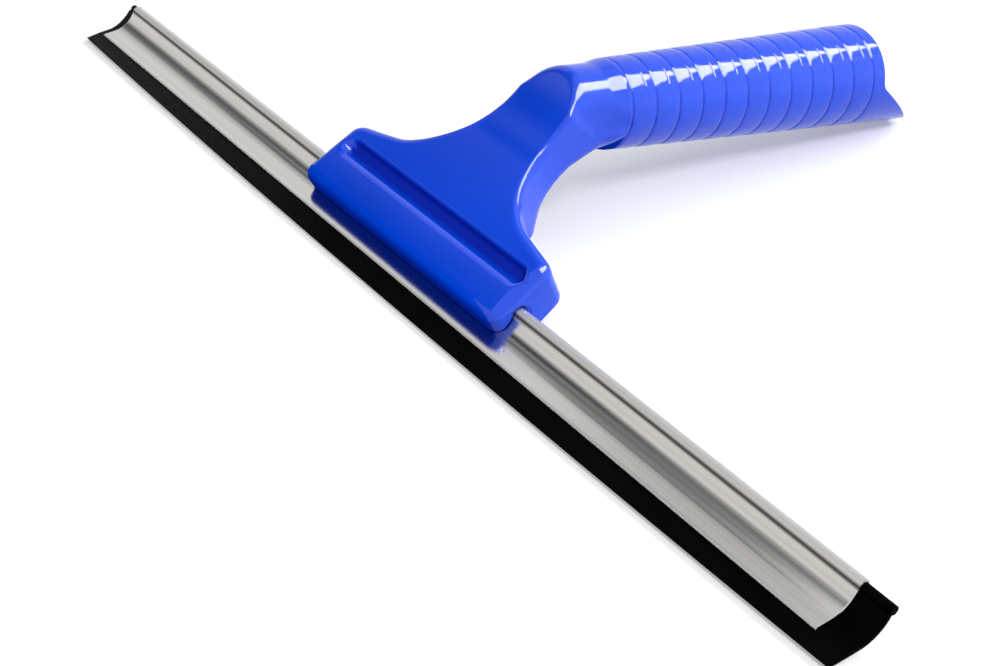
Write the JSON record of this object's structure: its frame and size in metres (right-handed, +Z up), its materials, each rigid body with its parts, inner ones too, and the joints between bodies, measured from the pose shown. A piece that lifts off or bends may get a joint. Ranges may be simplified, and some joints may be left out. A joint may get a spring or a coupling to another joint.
{
  "type": "window squeegee",
  "caption": "Hand squeegee: a ringed moulded handle with a pole socket clamps a long folded steel channel that holds a rubber wiping blade.",
  "frame": {"origin": "bottom centre of the bounding box of the whole squeegee, lying on its channel's lip, the blade's edge and the tail", "axes": "+X along the channel, +Y from the blade towards the tail of the handle, +Z up"},
  "size_m": [0.361, 0.1992, 0.0468],
  "materials": {
    "handle_plastic": "glossy injection moulded polypropylene",
    "stainless_sheet": "bright rolled stainless sheet with lengthwise grain",
    "blade_rubber": "matt black natural rubber"
  },
  "bodies": {
    "handle": {"handle": "handle_plastic"},
    "channel": {"channel": "stainless_sheet"},
    "rubber": {"rubber_blade": "blade_rubber"}
  },
  "joints": [
    {"name": "channel_slide", "type": "slide", "parent": "handle", "child": "channel", "axis": [1, 0, 0], "range_m": [-0.126, 0.13]},
    {"name": "rubber_slide", "type": "slide", "parent": "channel", "child": "rubber", "axis": [1, 0, 0], "range_m": [-0.29, 0.29]}
  ]
}
